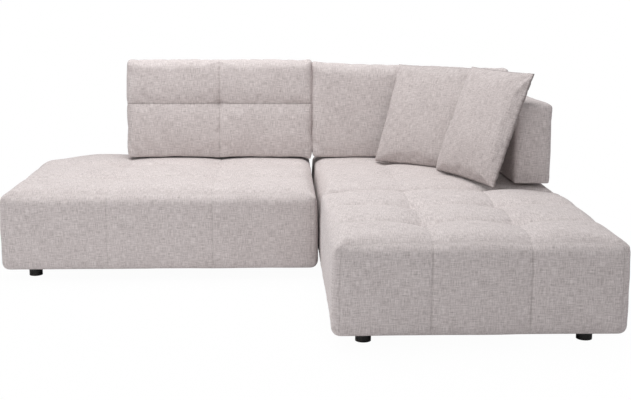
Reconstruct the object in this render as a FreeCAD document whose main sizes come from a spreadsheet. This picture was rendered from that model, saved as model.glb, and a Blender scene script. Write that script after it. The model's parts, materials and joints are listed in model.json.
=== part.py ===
import FreeCAD, Part
import math
import os
import Sketcher

# Modular corner sofa: a wide seat, a corner seat with a fixed back and a fixed side back, a loose
# backrest that slides on the wide seat, a free-standing ottoman and two loose pillows.
# Millimetres. +X is to the right seen from the front, +Y to the rear, +Z up.
# The origin is on the floor, under the middle of the whole sofa.

V = FreeCAD.Vector
doc = FreeCAD.newDocument("corner_sofa")
dims = doc.addObject("Spreadsheet::Sheet", "dims")

DIMENSIONS = [
    ("wide_width", 1440),
    ("corner_width", 1100),
    ("seat_depth", 1120),
    ("ottoman_width", 1100),
    ("ottoman_depth", 990),
    ("module_gap", 1),
    ("fabric_bottom", 50),
    ("crown_height", 434),
    ("side_bulge", 6),
    ("bottom_roll", 40),
    ("edge_roll", 45),
    ("corner_draw", 28),
    ("crown_rise", 14),
    ("tuft_sink", 8),
    ("channel_reach", 70),
    ("cover_wall", 12),
    ("flap_thick", 4),
    ("flap_margin", 80),
    ("dust_thick", 2),
    ("pad_thick", 50),
    ("pad_bevel", 30),
    ("foam_thick", 206),
    ("foam_bevel", 36),
    ("core_corner", 25),
    ("rail_thick", 25),
    ("rail_height", 130),
    ("cross_drop", 30),
    ("web_thick", 2),
    ("web_width", 60),
    ("block_size", 90),
    ("block_height", 60),
    ("foot_radius", 30),
    ("foot_inset", 130),
    ("inner_foot_setback", 320),
    ("bolt_radius", 4),
    ("bolt_faces", 8),
    ("bolt_play", 0.2),
    ("bolt_bite", 40),
    ("web_margin", 10),
    ("soft_gap", 0.3),
    ("mat_thick", 2),
    ("rest_width", 975),
    ("rest_height", 503),
    ("rest_base", 190),
    ("rest_lean", 70),
    ("rest_seam", 280),
    ("rest_side_gap", 5),
    ("rest_setback", 231),
    ("back_inset", 45),
    ("back_height", 478),
    ("back_fall", 0),
    ("side_gap", 5),
    ("arm_width", 164),
    ("arm_height", 361),
    ("arm_front", 50),
    ("arm_inset", 42),
    ("arm_roll", 16),
    ("back_roll", 26),
    ("back_top_roll", 34),
    ("shell_wall", 10),
    ("panel_thick", 18),
    ("panel_margin", 45),
    ("ballast_thick", 12),
    ("strap_thick", 6),
    ("strap_width", 40),
    ("strap_rise", 150),
    ("screw_radius", 3),
    ("screw_head", 6),
    ("screw_length", 16),
    ("pillow_size", 538),
    ("pillow_belly", 57),
    ("pillow_edge", 10),
    ("pillow_draw", 16),
    ("pillow_wall", 6),
    ("pillow_rings", 5),
    ("pillow_steps", 6),
    ("pillow_crown", 0.75),
    ("connector_thick", 4),
    ("connector_width", 60),
    ("connector_reach", 110),
    ("front_connector", 450),
    ("rear_connector", 280),
    ("strap_drop", 60),
    ("strap_share", 0.25),
    ("screw_spread", 15),
    ("back_bulge", 12),
    ("back_depth", 187),
    ("back_lean", 66),
    ("stud_depth", 60),
    ("rear_pillow_x", 326),
    ("rear_pillow_y", 788),
    ("rear_pillow_yaw", -41.3),
    ("rear_pillow_lean", 23),
    ("rear_pillow_drop", 7.2),
    ("rear_pillow_back", 31),
    ("front_pillow_x", 604),
    ("front_pillow_y", 462),
    ("front_pillow_yaw", -70.5),
    ("front_pillow_lean", 20.5),
    ("front_pillow_drop", 2),
    ("front_pillow_back", 8),
]

for row, (alias, value) in enumerate(DIMENSIONS, start=1):
    cell = "A%d" % row
    dims.set(cell, str(value))
    dims.setAlias(cell, alias)
doc.recompute()


def size(alias):
    """The number in the sheet's cell of that alias."""
    return float(dims.get(alias))


NODES = []


def node(obj, label):
    """Marks an object as one sub-part, which is written to its own file."""
    obj.Label = label
    NODES.append(obj)
    return obj


def bind(obj, **expressions):
    for key, expression in expressions.items():
        obj.setExpression(key.replace("__", "."), expression)
    return obj


def place(obj, x="0", y="0", z="0"):
    """Binds the place of an object, in millimetres, to expressions of the sheet."""
    for axis, expression in zip("xyz", (x, y, z)):
        obj.setExpression("Placement.Base." + axis, expression)
    return obj


def box(name, length, width, height, x="0", y="0", z="0"):
    obj = doc.addObject("Part::Box", name)
    bind(obj, Length=length, Width=width, Height=height)
    return place(obj, x, y, z)


def rod(name, radius, height, x="0", y="0", z="0"):
    """A hidden bolt or its hole, with few faces because there are many of them."""
    obj = doc.addObject("Part::Prism", name)
    obj.Polygon = int(size("bolt_faces"))
    bind(obj, Circumradius=radius, Height=height)
    return place(obj, x, y, z)


def group(name, members):
    obj = doc.addObject("Part::Compound", name)
    obj.Links = members
    return obj


def cut(name, base, tool):
    obj = doc.addObject("Part::Cut", name)
    obj.Base = base
    obj.Tool = tool
    return obj


def feature(name, shape):
    obj = doc.addObject("Part::Feature", name)
    obj.Shape = shape
    return obj


LEFT = "(-(dims.wide_width + dims.module_gap + dims.corner_width) / 2)"
FRONT = "(-(dims.ottoman_depth + dims.module_gap + dims.seat_depth) / 2)"
CORNER_LEFT = "(%s + dims.wide_width + dims.module_gap)" % LEFT
SEAT_FRONT = "(%s + dims.ottoman_depth + dims.module_gap)" % FRONT
FRAME_BOTTOM = "(dims.fabric_bottom + dims.flap_thick)"
FRAME_TOP = "(%s + dims.rail_height)" % FRAME_BOTTOM
FOAM_BOTTOM = "(%s + dims.web_thick)" % FRAME_TOP
FOAM_TOP = "(%s + dims.foam_thick)" % FOAM_BOTTOM
FRAME_INSET = "(dims.cover_wall + dims.pad_thick)"
RAIL_INNER = "(%s + dims.rail_thick)" % FRAME_INSET
FOOT_HEIGHT = "(%s - dims.dust_thick)" % FRAME_BOTTOM
CROWN_CLEAR = "(dims.crown_height + dims.soft_gap)"
REST_FRONT = "(dims.seat_depth - dims.rest_setback)"
BACK_WIDTH = "(dims.corner_width - dims.side_gap - dims.back_inset)"
HALF = math.sqrt(0.5)


def number(expression):
    """The value of an expression of the sheet."""
    return float(dims.evalExpression(expression))


def arc(start, middle, end):
    return Part.Arc(start, middle, end).toShape()


def line(start, end):
    return Part.LineSegment(start, end).toShape()


def bow(start, end, rise):
    """An arc between two points, whose middle stands off the straight line by a vector."""
    return arc(start, (start + end) * 0.5 + rise, end)


def corner(start, end, centre):
    """A quarter turn, circular or squashed to a near circle, about a rough centre."""
    return arc(start, centre + (start - centre) * HALF + (end - centre) * HALF, end)


def roll_in(distance, reach):
    """How far a rolled edge has drawn in, from 1 at the end of the piece to 0 past the roll."""
    if distance >= reach:
        return 0.0
    return 1.0 - math.sqrt(1.0 - (1.0 - distance / reach) ** 2)


def skin(wires):
    """A solid through cross sections, straight from each to the next."""
    return Part.makeLoft(wires, True, True)


def facets(rings):
    """A solid of flat faces through rings of corners, each ring with as many corners."""
    faces = [Part.Face(Part.makePolygon(ring + ring[:1])) for ring in (rings[0], rings[-1])]
    for lower, upper in zip(rings, rings[1:]):
        for i in range(len(lower)):
            j = (i + 1) % len(lower)
            faces.append(Part.Face(Part.makePolygon([lower[i], lower[j], upper[j], upper[i], lower[i]])))
    form = Part.makeSolid(Part.makeShell(faces))
    if form.Volume < 0:
        form.reverse()
    return form


def seat_section(x, depth, from_end, sink):
    """The outline of an upholstered seat, cut across at x: flat bottom, bulged front and rear,
    rolled edges and a crowned top of three puffs that meet in two sewn channels."""
    roll = size("edge_roll")
    bottom = size("bottom_roll")
    drawn = roll_in(from_end, roll)
    bulge = size("side_bulge")
    front = size("corner_draw") * drawn
    rear = depth - front
    low = size("fabric_bottom") + bottom * drawn
    top = size("crown_height") - roll * drawn - sink
    seam = top - size("tuft_sink")
    edge = top - size("crown_rise")
    shoulder = edge - roll
    waist = (low + bottom + shoulder) / 2

    def at(y, z):
        return V(x, y, z)

    ys = [front + bulge + roll, depth / 3, depth * 2 / 3, rear - bulge - roll]
    zs = [edge, seam, seam, edge]
    edges = [
        line(at(rear - bottom - bulge, low), at(front + bottom + bulge, low)),
        corner(at(front + bottom + bulge, low), at(front + bulge, low + bottom),
               at(front + bottom + bulge, low + bottom)),
        line(at(front + bulge, low + bottom), at(front, waist)),
        line(at(front, waist), at(front + bulge, shoulder)),
        corner(at(front + bulge, shoulder), at(ys[0], edge), at(ys[0], shoulder)),
    ]
    for i in range(3):
        edges.append(arc(at(ys[i], zs[i]), at((ys[i] + ys[i + 1]) / 2, top), at(ys[i + 1], zs[i + 1])))
    edges += [
        corner(at(ys[3], edge), at(rear - bulge, shoulder), at(ys[3], shoulder)),
        line(at(rear - bulge, shoulder), at(rear, waist)),
        line(at(rear, waist), at(rear - bulge, low + bottom)),
        corner(at(rear - bulge, low + bottom), at(rear - bottom - bulge, low),
               at(rear - bottom - bulge, low + bottom)),
    ]
    return Part.Wire(edges)


def seat_outside(width, depth):
    """The tufted seat: sections from end to end, close together in the rolled ends and at the
    two channels, with the puffs at full height between them."""
    roll = size("edge_roll")
    reach = size("channel_reach")
    rolled = [0, roll * 0.3, roll]
    stations = [(t, t, 0) for t in rolled]
    for channel in (width / 3, width * 2 / 3):
        stations.append((channel - reach, width, 0))
        stations.append((channel, width, size("tuft_sink")))
        stations.append((channel + reach, width, 0))
    stations += [(width - t, t, 0) for t in reversed(rolled)]
    return skin([seat_section(x, depth, from_end, sink) for x, from_end, sink in stations])


def bevelled(width, depth, levels):
    """A block with bevelled upright corners, as wide at each level as its inset says."""
    wall = size("cover_wall")
    rings = []
    for z, inset in levels:
        cut_corner = size("core_corner") - inset * (2 - 2 * HALF)
        x0 = wall + inset
        y0 = wall + inset
        x1 = width - x0
        y1 = depth - y0
        rings.append([
            V(x0 + cut_corner, y0, z), V(x1 - cut_corner, y0, z), V(x1, y0 + cut_corner, z),
            V(x1, y1 - cut_corner, z), V(x1 - cut_corner, y1, z), V(x0 + cut_corner, y1, z),
            V(x0, y1 - cut_corner, z), V(x0, y0 + cut_corner, z),
        ])
    return facets(rings)


def block(x0, y0, z0, x1, y1, z1):
    return Part.makeBox(x1 - x0, y1 - y0, z1 - z0, V(x0, y0, z0))


def foot_body(name, x, y):
    """A moulded round foot: a circle padded to its height."""
    body = doc.addObject("PartDesign::Body", name)
    sketch = body.newObject("Sketcher::SketchObject", name + "_outline")
    sketch.AttachmentSupport = [([f for f in body.Origin.OriginFeatures if f.Role == "XY_Plane"][0], "")]
    sketch.MapMode = "FlatFace"
    sketch.addGeometry(Part.Circle(V(0, 0, 0), V(0, 0, 1), size("foot_radius")), False)
    sketch.addConstraint(Sketcher.Constraint("Coincident", 0, 3, -1, 1))
    index = sketch.addConstraint(Sketcher.Constraint("Radius", 0, size("foot_radius")))
    sketch.setExpression("Constraints[%d]" % index, "dims.foot_radius")
    pad = body.newObject("PartDesign::Pad", name + "_pad")
    pad.Profile = sketch
    pad.setExpression("Length", FOOT_HEIGHT)
    return place(body, x, y)


class Seat:
    """One upholstered seat module. Its pieces are made with the front left corner of the fabric
    at the origin, and each node is then placed at the module's own corner."""

    def __init__(self, name, width, depth, left, front, cross_rails, webs, feet):
        self.name = name
        self.width = width
        self.depth = depth
        self.left = left
        self.front = front
        self.cross_rails = cross_rails
        self.webs = webs
        self.feet = feet
        self.pockets = []

    def keep(self, obj, label):
        """Places a finished piece at the module's corner and names it."""
        place(obj, self.left, self.front)
        return node(obj, self.name + "_" + label)

    def web_x(self, index):
        first = "(%s + dims.web_margin)" % RAIL_INNER
        pitch = "((%s - 2 * %s - dims.web_width) / %d)" % (self.width, first, self.webs - 1)
        return "(%s + %d * %s)" % (first, index, pitch)

    def upholstery(self):
        """The quilted cover, the seat foam and the foam padding round the frame."""
        width = number(self.width)
        depth = number(self.depth)
        low = number(FRAME_BOTTOM)
        top = number(FOAM_TOP)
        base = number(FOAM_BOTTOM)
        bevel = size("foam_bevel")
        under = size("pad_bevel")
        inset = number(FRAME_INSET)
        margin = size("flap_margin")
        wall = size("cover_wall")
        outside = seat_outside(width, depth)
        core = bevelled(width, depth, [(low, under), (low + under, 0), (top - bevel, 0), (top, bevel)])
        opening = block(margin, margin, 0, width - margin, depth - margin, low + wall)
        cover = outside.cut([core, opening] + self.pockets)
        foam = bevelled(width, depth, [(base, 0), (top - bevel, 0), (top, bevel)])
        if self.pockets:
            foam = foam.cut(self.pockets)
        ring = bevelled(width, depth, [(low, under), (low + under, 0), (base, 0)])
        hollow = block(inset, inset, low - wall, width - inset, depth - inset, base + wall)
        self.keep(feature(self.name + "_cover_form", cover), "cover")
        self.keep(feature(self.name + "_foam_form", foam), "foam")
        self.keep(feature(self.name + "_padding_form", ring.cut(hollow)), "side_padding")

    def frame(self):
        """Front and rear rails, side rails, cross rails and the blocks that take the feet."""
        far_x = "%s - %s" % (self.width, FRAME_INSET)
        far_y = "%s - %s" % (self.depth, FRAME_INSET)
        long_rail = "%s - 2 * %s" % (self.width, FRAME_INSET)
        short_rail = "%s - 2 * %s" % (self.depth, RAIL_INNER)
        name = self.name
        rails = []
        for tag, y in (("front", FRAME_INSET), ("rear", far_y + " - dims.rail_thick")):
            rails.append(box("%s_%s_rail" % (name, tag), long_rail, "dims.rail_thick",
                             "dims.rail_height", FRAME_INSET, y, FRAME_BOTTOM))
        self.rails = rails
        sides = []
        for tag, x in (("left", FRAME_INSET), ("right", far_x + " - dims.rail_thick")):
            sides.append(box("%s_%s_rail" % (name, tag), "dims.rail_thick", short_rail,
                             "dims.rail_height", x, RAIL_INNER, FRAME_BOTTOM))
        self.side_rails = sides
        crosses = []
        for i in range(self.cross_rails):
            x = "%s * %d / %d - dims.rail_thick / 2" % (self.width, i + 1, self.cross_rails + 1)
            crosses.append(box("%s_cross_%d" % (name, i + 1), "dims.rail_thick", short_rail,
                               "dims.rail_height - dims.cross_drop", x, RAIL_INNER, FRAME_BOTTOM))
        self.keep(group(name + "_cross_set", crosses), "cross_rails")

    def supports(self):
        """Elastic webbing, dust cover, foot blocks, feet and their bolts."""
        name = self.name
        webs = []
        for i in range(self.webs):
            webs.append(box("%s_web_%d" % (name, i + 1), "dims.web_width",
                            "%s - 2 * %s" % (self.depth, FRAME_INSET), "dims.web_thick",
                            self.web_x(i), FRAME_INSET, FRAME_TOP))
        self.keep(group(name + "_web_set", webs), "webbing")
        bolts = []
        holes = []
        feet = []
        blocks = []
        near = RAIL_INNER
        far_x = "%s - %s - dims.block_size" % (self.width, RAIL_INNER)
        far_y = "%s - %s - dims.block_size" % (self.depth, RAIL_INNER)
        spots = [(near, near), (near, far_y), (far_x, near), (far_x, far_y)]
        for tag, x, y in self.feet:
            feet.append(foot_body("%s_foot_%s" % (name, tag), x, y))
            bolts.append(rod("%s_bolt_%s" % (name, tag), "dims.bolt_radius",
                             "dims.dust_thick + dims.bolt_bite", x, y, FOOT_HEIGHT))
            holes.append(rod("%s_hole_%s" % (name, tag), "dims.bolt_radius + dims.bolt_play",
                             "%s + dims.bolt_bite" % FRAME_BOTTOM, x, y, "0"))
            if tag == "inner":
                spots.append((far_x, "%s - dims.block_size / 2" % y))
        for i, (x, y) in enumerate(spots):
            blocks.append(box("%s_block_%d" % (name, i + 1), "dims.block_size", "dims.block_size",
                              "dims.block_height", x, y, FRAME_BOTTOM))
        drill = group(name + "_drill", holes)
        sheet_x = "%s - 2 * dims.flap_margin" % self.width
        sheet_y = "%s - 2 * dims.flap_margin" % self.depth
        sheet = box(name + "_dust_sheet", sheet_x, sheet_y, "dims.dust_thick", "dims.flap_margin",
                    "dims.flap_margin", FOOT_HEIGHT)
        self.keep(cut(name + "_dust_drilled", sheet, drill), "dust_cover")
        self.keep(cut(name + "_block_drilled", group(name + "_block_set", blocks), drill), "foot_blocks")
        self.keep(group(name + "_foot_set", feet), "feet")
        self.keep(group(name + "_bolt_set", bolts), "foot_bolts")


INSET = "dims.foot_inset"
WIDE_FAR = "dims.wide_width - dims.foot_inset"
CORNER_FAR = "dims.corner_width - dims.foot_inset"
OTTOMAN_FAR = "dims.ottoman_width - dims.foot_inset"
SEAT_REAR = "dims.seat_depth - dims.foot_inset"
OTTOMAN_REAR = "dims.ottoman_depth - dims.foot_inset"

wide_seat = Seat(
    "wide_seat", "dims.wide_width", "dims.seat_depth", LEFT, SEAT_FRONT, 2, 8,
    [("front", INSET, INSET), ("rear", INSET, SEAT_REAR),
     ("inner", WIDE_FAR, "dims.inner_foot_setback"), ("back", WIDE_FAR, SEAT_REAR)])
corner_seat = Seat(
    "corner_seat", "dims.corner_width", "dims.seat_depth", CORNER_LEFT, SEAT_FRONT, 1, 6,
    [("front_left", INSET, INSET), ("front_right", CORNER_FAR, INSET),
     ("rear_left", INSET, SEAT_REAR), ("rear_right", CORNER_FAR, SEAT_REAR)])
ottoman = Seat(
    "ottoman", "dims.ottoman_width", "dims.ottoman_depth", CORNER_LEFT, FRONT, 1, 6,
    [("front_left", INSET, INSET), ("front_right", OTTOMAN_FAR, INSET),
     ("rear_left", INSET, OTTOMAN_REAR), ("rear_right", OTTOMAN_FAR, OTTOMAN_REAR)])


def prism(point, direction, radius, length, faces=None):
    """A straight bar with flat faces, from a point along a direction."""
    faces = faces or int(size("bolt_faces"))
    side = V(direction.y, direction.z, direction.x) * radius
    turn = FreeCAD.Rotation(direction, 360 / faces)
    corners = [side]
    for i in range(faces - 1):
        corners.append(turn.multVec(corners[-1]))
    outline = Part.makePolygon([point + c for c in corners] + [point + side])
    return Part.Face(outline).extrude(direction * length)


def coach_screw(point, direction, through):
    """A coach screw whose hexagon head seats on a face at the point."""
    thick = size("screw_head") / 2
    head = prism(point - direction * thick, direction, size("screw_head"), thick, 6)
    return head.fuse(prism(point, direction, size("screw_radius"), through))


def screw_hole(point, direction, through):
    """The hole that a screw's shank runs in, with its play."""
    radius = size("screw_radius") + size("bolt_play")
    return prism(point, direction, radius, through + size("screw_radius"))


class Fixing:
    """Flat steel straps that stand against the inner face of a seat rail and carry a back, each
    with one coach screw into the rail and one into the board of the back."""

    def __init__(self, along, spots, face, rise):
        """along is the way a strap is wide, spots are its places along that, face is the
        coordinate of the rail's inner face, and the strap lies on the module's inner side."""
        self.straps = []
        self.slots = []
        self.screws = []
        self.holes = []
        thick = size("strap_thick")
        width = size("strap_width")
        low = number(FRAME_TOP) - size("strap_drop")
        high = number(CROWN_CLEAR) + rise
        play = size("bolt_play")
        length = size("screw_length") + thick
        heights = [number(FRAME_TOP) - size("strap_drop") / 2, high - size("screw_spread")]
        for spot in spots:
            near = V(spot, face - thick, low)
            far = V(spot + width, face, high)
            middle = V(spot + width / 2, face - thick, 0)
            push = V(0, 1, 0)
            if along == "y":
                near, far, middle = [V(p.y, p.x, p.z) for p in (near, far, middle)]
                push = V(1, 0, 0)
            strap = block(near.x, near.y, near.z, far.x, far.y, far.z)
            slot = block(near.x - play, near.y - play, near.z - play,
                         far.x + play, far.y + play, far.z + play)
            points = [middle + V(0, 0, z) for z in heights]
            holes = [screw_hole(p, push, length) for p in points]
            self.straps.append(strap.cut(holes))
            self.slots.append(slot)
            self.screws += [coach_screw(p, push, length) for p in points]
            self.holes += holes
            head = size("screw_head")
            for p in points:
                pocket = Part.makeBox(2 * head, 2 * head, 2 * head)
                pocket.translate(p - V(head, head, head) - push * (head / 2))
                self.slots.append(pocket)


def web_gap_middle(seat, index):
    """Where a strap stands between two webs of a seat."""
    start = number(seat.web_x(index)) + size("web_width")
    return (start + number(seat.web_x(index + 1)) - size("strap_width")) / 2


def back_section(x, inset, y0, y1, z0, height, lean, seam, sink):
    """The outline of a leaning back, cut across at x: a bulged front in two panels that meet at a
    sewn seam, a rolled top and an almost upright rear."""
    roll = size("back_roll")
    top_roll = size("back_top_roll")
    bulge = size("back_bulge")
    rear_bulge = size("side_bulge") / 2
    front = y0 + inset
    rear = y1 - inset - rear_bulge
    low = z0 + inset
    high = z0 + height - inset
    front_top = front + lean
    seam_z = z0 + seam
    seam_y = front + lean * seam / height + sink

    def at(y, z):
        return V(x, y, z)

    edges = [
        line(at(rear - roll, low), at(front + roll, low)),
        corner(at(front + roll, low), at(front, low + roll), at(front + roll, low + roll)),
        bow(at(front, low + roll), at(seam_y, seam_z), V(0, -bulge, 0)),
        bow(at(seam_y, seam_z), at(front_top, high - top_roll), V(0, -bulge, 0)),
        corner(at(front_top, high - top_roll), at(front_top + top_roll, high),
               at(front_top + top_roll, high - top_roll)),
        bow(at(front_top + top_roll, high), at(rear - roll, high - rear_bulge), V(0, 0, rear_bulge)),
        corner(at(rear - roll, high - rear_bulge), at(rear, high - roll - rear_bulge),
               at(rear - roll, high - roll - rear_bulge)),
        bow(at(rear, high - roll - rear_bulge), at(rear, low + roll), V(0, rear_bulge, 0)),
        corner(at(rear, low + roll), at(rear - roll, low), at(rear - roll, low + roll)),
    ]
    return Part.Wire(edges)


def back_outside(x0, width, y0, y1, z0, height, fall, lean, seam, sink, channel):
    """A stuffed back: sections drawn in at both ends and, with a channel, pulled in along a
    middle seam as well."""
    roll = size("back_roll")
    reach = size("channel_reach")
    stations = [(0, 0), (roll * 0.3, 0), (roll, 0)]
    if channel:
        stations += [(width / 2 - reach, 0), (width / 2, 1), (width / 2 + reach, 0)]
    stations += [(width - roll, 0), (width - roll * 0.3, 0), (width, 0)]
    wires = []
    for t, share in stations:
        from_end = min(t, width - t)
        inset = roll * roll_in(from_end, roll) * 0.6
        tall = height - fall * t / width
        seam_z = seam * tall / height
        wires.append(back_section(x0 + t, inset + share * size("tuft_sink"), y0, y1, z0, tall,
                                  lean, seam_z, sink))
    return skin(wires)


def back_core(x0, width, y0, y1, z0, height, fall, lean, sink):
    """The space inside a back's cover: flat faced, one wall thickness in."""
    wall = size("shell_wall") + sink + size("side_bulge")
    top = size("back_top_roll")
    rings = []
    for x, tall in ((x0 + wall, height), (x0 + width - wall, height - fall)):
        high = z0 + tall - wall
        front_top = y0 + wall + lean
        rear = y1 - wall
        rings.append([
            V(x, y0 + wall, z0 + wall), V(x, rear, z0 + wall), V(x, rear, high - wall),
            V(x, rear - wall, high), V(x, front_top + wall, high), V(x, front_top, high - top),
        ])
    return facets(rings)


def arm_section(y, inset, x0, x1, z0, height):
    """The outline of the boxy side back, cut across at y: four tight rolls and a slightly
    crowned top."""
    roll = size("arm_roll")
    bulge = size("side_bulge") / 2
    left = x0 + inset
    right = x1 - inset
    low = z0 + inset
    high = z0 + height - inset - bulge

    def at(x, z):
        return V(x, y, z)

    edges = [
        line(at(left + roll, low), at(right - roll, low)),
        corner(at(right - roll, low), at(right, low + roll), at(right - roll, low + roll)),
        line(at(right, low + roll), at(right, high - roll)),
        corner(at(right, high - roll), at(right - roll, high), at(right - roll, high - roll)),
        bow(at(right - roll, high), at(left + roll, high), V(0, 0, bulge)),
        corner(at(left + roll, high), at(left, high - roll), at(left + roll, high - roll)),
        line(at(left, high - roll), at(left, low + roll)),
        corner(at(left, low + roll), at(left + roll, low), at(left + roll, low + roll)),
    ]
    return Part.Wire(edges)


def arm_outside(x0, x1, y0, y1, z0, height):
    roll = size("arm_roll")
    stations = [0, roll * 0.3, roll]
    stations += [y1 - y0 - t for t in reversed(stations)]
    wires = []
    for t in stations:
        inset = roll * roll_in(min(t, y1 - y0 - t), roll) * 0.7
        wires.append(arm_section(y0 + t, inset, x0, x1, z0, height))
    return skin(wires)


def board_fuse(shapes):
    joined = shapes[0]
    for shape in shapes[1:]:
        joined = joined.fuse(shape)
    return joined


# The fixed back and side back stand on the corner seat. Their sizes are in the corner seat's own
# frame, whose origin is the front left corner of its fabric.
rail_face_y = number("dims.seat_depth - " + RAIL_INNER)
rail_face_x = number("dims.corner_width - " + RAIL_INNER)
back_straps = Fixing(
    "x", [web_gap_middle(corner_seat, 0), web_gap_middle(corner_seat, corner_seat.webs - 2)],
    rail_face_y, size("strap_rise"))
arm_length = number(REST_FRONT) - size("side_gap") - size("arm_front")
arm_middle = size("arm_front") + (arm_length - size("strap_width")) / 2
arm_reach = arm_length * size("strap_share")
arm_spots = [arm_middle - arm_reach, arm_middle + arm_reach]
arm_straps = Fixing("y", arm_spots, rail_face_x, size("strap_rise"))
corner_seat.pockets = back_straps.slots + arm_straps.slots


class Hook:
    """The plate under the wide seat and the catch under the corner seat that hold them together
    at one place along the depth."""

    def __init__(self, y):
        thick = size("connector_thick")
        reach = size("connector_reach")
        width = size("connector_width")
        top = size("fabric_bottom")
        gap = size("module_gap")
        play = size("bolt_play")
        edge = number(FRAME_INSET + " + dims.rail_thick / 2")
        wide_edge = size("wide_width")
        up = V(0, 0, 1)
        length = thick + size("flap_thick") + size("screw_length")
        self.plate_screws = [V(wide_edge - edge, y, top - thick)]
        bottom = top - 2 * thick - play
        self.catch_screws = [V(edge, y + s * (width / 2 + thick * 2), bottom) for s in (-1, 1)]
        plate = block(wide_edge - reach, y - width / 2, top - thick,
                      wide_edge + gap + reach, y + width / 2, top)
        self.plate = plate.cut([screw_hole(p, up, length) for p in self.plate_screws])
        flange = width / 2 + thick * 4
        catch = block(edge - thick * 3, y - flange, bottom, reach + thick, y + flange, top)
        tunnel = block(edge - thick * 4, y - width / 2 - play, top - thick - play,
                       reach + play, y + width / 2 + play, top + play)
        catch = catch.cut(tunnel)
        self.catch = catch.cut([screw_hole(p, up, length + thick) for p in self.catch_screws])
        self.wide_holes = [screw_hole(p, up, length) for p in self.plate_screws]
        self.corner_holes = [screw_hole(p, up, length + thick) for p in self.catch_screws]
        self.wide_set = [coach_screw(p, up, length) for p in self.plate_screws]
        self.corner_set = [coach_screw(p, up, length + thick) for p in self.catch_screws]


hooks = [Hook(size("front_connector")), Hook(size("seat_depth") - size("rear_connector"))]
wide_seat.pockets = sum([hook.wide_holes for hook in hooks], [])
corner_seat.pockets += sum([hook.corner_holes for hook in hooks], [])

for seat in (wide_seat, corner_seat, ottoman):
    seat.upholstery()
    seat.frame()
    seat.supports()


def drilled(seat, rails, holes, label):
    """A pair of rails with the screw holes that reach them."""
    pair = group(seat.name + "_" + label + "_pair", rails)
    if not holes:
        return seat.keep(pair, label)
    drill = feature(seat.name + "_" + label + "_drill", Part.makeCompound(holes))
    return seat.keep(cut(seat.name + "_" + label + "_drilled", pair, drill), label)


drilled(wide_seat, wide_seat.rails, [], "front_rear_rails")
drilled(wide_seat, wide_seat.side_rails, sum([h.wide_holes for h in hooks], []), "side_rails")
drilled(corner_seat, corner_seat.rails, back_straps.holes, "front_rear_rails")
drilled(corner_seat, corner_seat.side_rails,
        arm_straps.holes + sum([h.corner_holes for h in hooks], []), "side_rails")
drilled(ottoman, ottoman.rails, [], "front_rear_rails")
drilled(ottoman, ottoman.side_rails, [], "side_rails")
wide_seat.keep(feature("hook_plates", Part.makeCompound([h.plate for h in hooks])), "connector_plates")
corner_seat.keep(feature("hook_catches", Part.makeCompound([h.catch for h in hooks])),
                 "connector_catches")
wide_seat.keep(feature("plate_screws", Part.makeCompound(sum([h.wide_set for h in hooks], []))),
               "connector_screws")
corner_seat.keep(feature("catch_screws", Part.makeCompound(sum([h.corner_set for h in hooks], []))),
                 "connector_screws")


def fixed_back():
    """The plain back along the rear of the corner seat."""
    x0 = size("side_gap")
    y0 = number(REST_FRONT)
    y1 = y0 + size("back_depth")
    z0 = number(CROWN_CLEAR)
    width = number(BACK_WIDTH)
    height = size("back_height")
    fall = size("back_fall")
    lean = size("back_lean")
    margin = size("panel_margin")
    wall = size("shell_wall") + size("side_bulge")
    thick = size("panel_thick")
    outside = back_outside(x0, width, y0, y1, z0, height, fall, lean, height / 2, 0, False)
    core = back_core(x0, width, y0, y1, z0, height, fall, lean, 0)
    left = x0 + margin
    right = x0 + width - margin
    bottom = z0 + wall
    top = z0 + height - fall - margin
    face = rail_face_y
    depth = size("stud_depth")
    panel = block(left, face, bottom, right, face + thick, top)
    mid = (left + right) / 2
    windows = [
        block(left + margin * 2, face - thick, bottom + margin * 2, mid - margin, face + 2 * thick,
              top - margin),
        block(mid + margin, face - thick, bottom + margin * 2, right - margin * 2,
              face + 2 * thick, top - margin),
    ]
    base_rail = block(left, face - depth, bottom, right, face, bottom + thick)
    studs = [
        block(x, face - depth, bottom + thick, x + thick, face, top - margin)
        for x in (left, mid - thick / 2, right - thick)
    ]
    frame = panel.cut(windows + back_straps.holes)
    frame = board_fuse([frame, base_rail] + studs).cut(back_straps.slots[:])
    solid_parts = [panel, base_rail] + studs + back_straps.slots
    corner_seat.keep(feature("back_cover_form", outside.cut([core] + back_straps.slots)), "back_cover")
    corner_seat.keep(feature("back_foam_form", core.cut(solid_parts)), "back_foam")
    corner_seat.keep(feature("back_frame_form", frame), "back_frame")
    corner_seat.keep(feature("back_strap_form", Part.makeCompound(back_straps.straps)), "back_straps")
    corner_seat.keep(feature("back_screw_form", Part.makeCompound(back_straps.screws)), "back_screws")


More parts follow.
